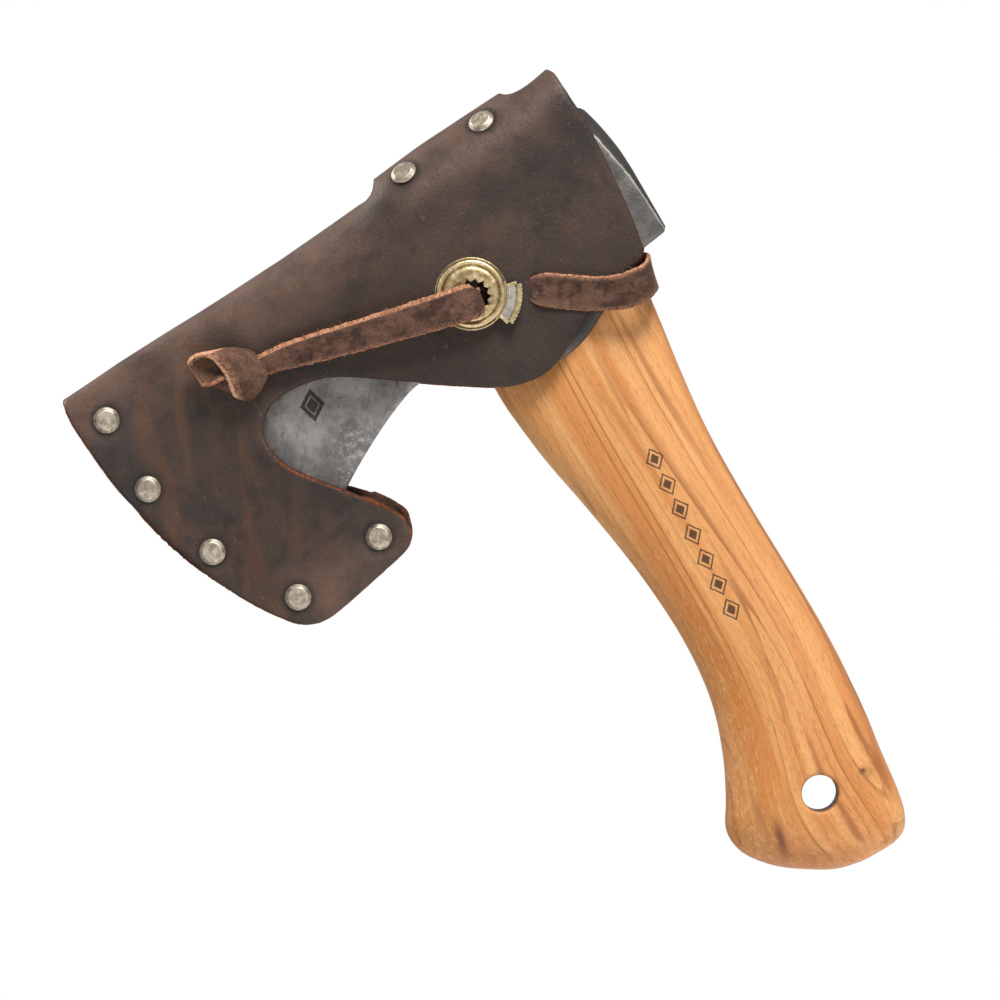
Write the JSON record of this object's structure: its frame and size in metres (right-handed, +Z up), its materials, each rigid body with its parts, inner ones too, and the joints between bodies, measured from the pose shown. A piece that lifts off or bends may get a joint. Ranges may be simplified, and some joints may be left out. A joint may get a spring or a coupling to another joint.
{
  "type": "hatchet with leather sheath",
  "caption": "Small bearded forest hatchet with a curved wooden handle, in a riveted leather sheath closed by a lace and a spring cord lock.",
  "frame": {"origin": "centre of the hanging hole through the handle's knob, on the mid-plane of the tool", "axes": "+Z up the handle towards the head, -X towards the cutting edge, -Y towards the side with the lock"},
  "size_m": [0.1836, 0.0461, 0.2538],
  "materials": {
    "forged_steel": "dark forged scale, slightly bright on worn edges",
    "ring_steel": "plain ground steel",
    "hickory": "oiled hickory, satin, long brown grain along the handle",
    "wedge_wood": "plain end grain",
    "sheath_leather": "dark brown pull-up leather, waxy, mottled, with raw orange-brown cut edges",
    "lace_leather": "rough reddish-brown suede lace",
    "rivet_nickel": "antique nickel, fine scratches",
    "lock_brass": "antique brass with a rolled bright rim",
    "lock_steel": "plated steel"
  },
  "bodies": {
    "tool": {"axe_head": "forged_steel", "handle": "hickory", "eye_wedge": "wedge_wood", "wedge_ring": "ring_steel"},
    "sheath": {"sheath_cover": "sheath_leather", "top_bridge": "sheath_leather", "edge_welt": "sheath_leather", "edge_rivet_caps": "rivet_nickel", "edge_rivet_posts": "rivet_nickel", "bridge_rivet_caps": "rivet_nickel", "bridge_rivet_posts": "rivet_nickel", "anchor_rivet_cap": "rivet_nickel", "anchor_rivet_post": "rivet_nickel", "lace_inner_run": "lace_leather", "lace_tail": "lace_leather", "lace_legs": "lace_leather"},
    "knot": {"lace_knot": "lace_leather"},
    "loop_end": {"lace_bend": "lace_leather"},
    "lock": {"lock_case": "lock_brass", "lock_base": "lock_brass", "lock_spring": "lock_steel"},
    "button": {"lock_plunger": "lock_steel", "lock_thumb_pad": "lock_brass"}
  },
  "joints": [
    {"name": "sheath_slide", "type": "slide", "parent": "tool", "child": "sheath", "axis": [-1, 0, 0], "range_m": [0, 0.19]},
    {"name": "lace_draw", "type": "slide", "parent": "sheath", "child": "knot", "axis": [0.9565, -0.1866, -0.2243], "range_m": [0, 0.045], "deforming": ["lace_tail"]},
    {"name": "loop_slack", "type": "slide", "parent": "sheath", "child": "loop_end", "axis": [0.9239, 0, -0.3827], "range_m": [0, 0.0225], "deforming": ["lace_legs", "lace_bend"]},
    {"name": "lock_swivel", "type": "hinge", "parent": "sheath", "child": "lock", "pos_m": [-0.0157, 0, 0.1812], "axis": [0, -1, 0], "range_deg": [-100, 100]},
    {"name": "plunger_press", "type": "slide", "parent": "lock", "child": "button", "axis": [-0.7385, 0, 0.6743], "range_m": [0, 0.0018], "stiffness_N_per_m": 400, "deforming": ["lock_spring"]}
  ],
  "couplings": [
    {"joint": "loop_slack", "follows": "lace_draw", "ratio": 0.5}
  ]
}
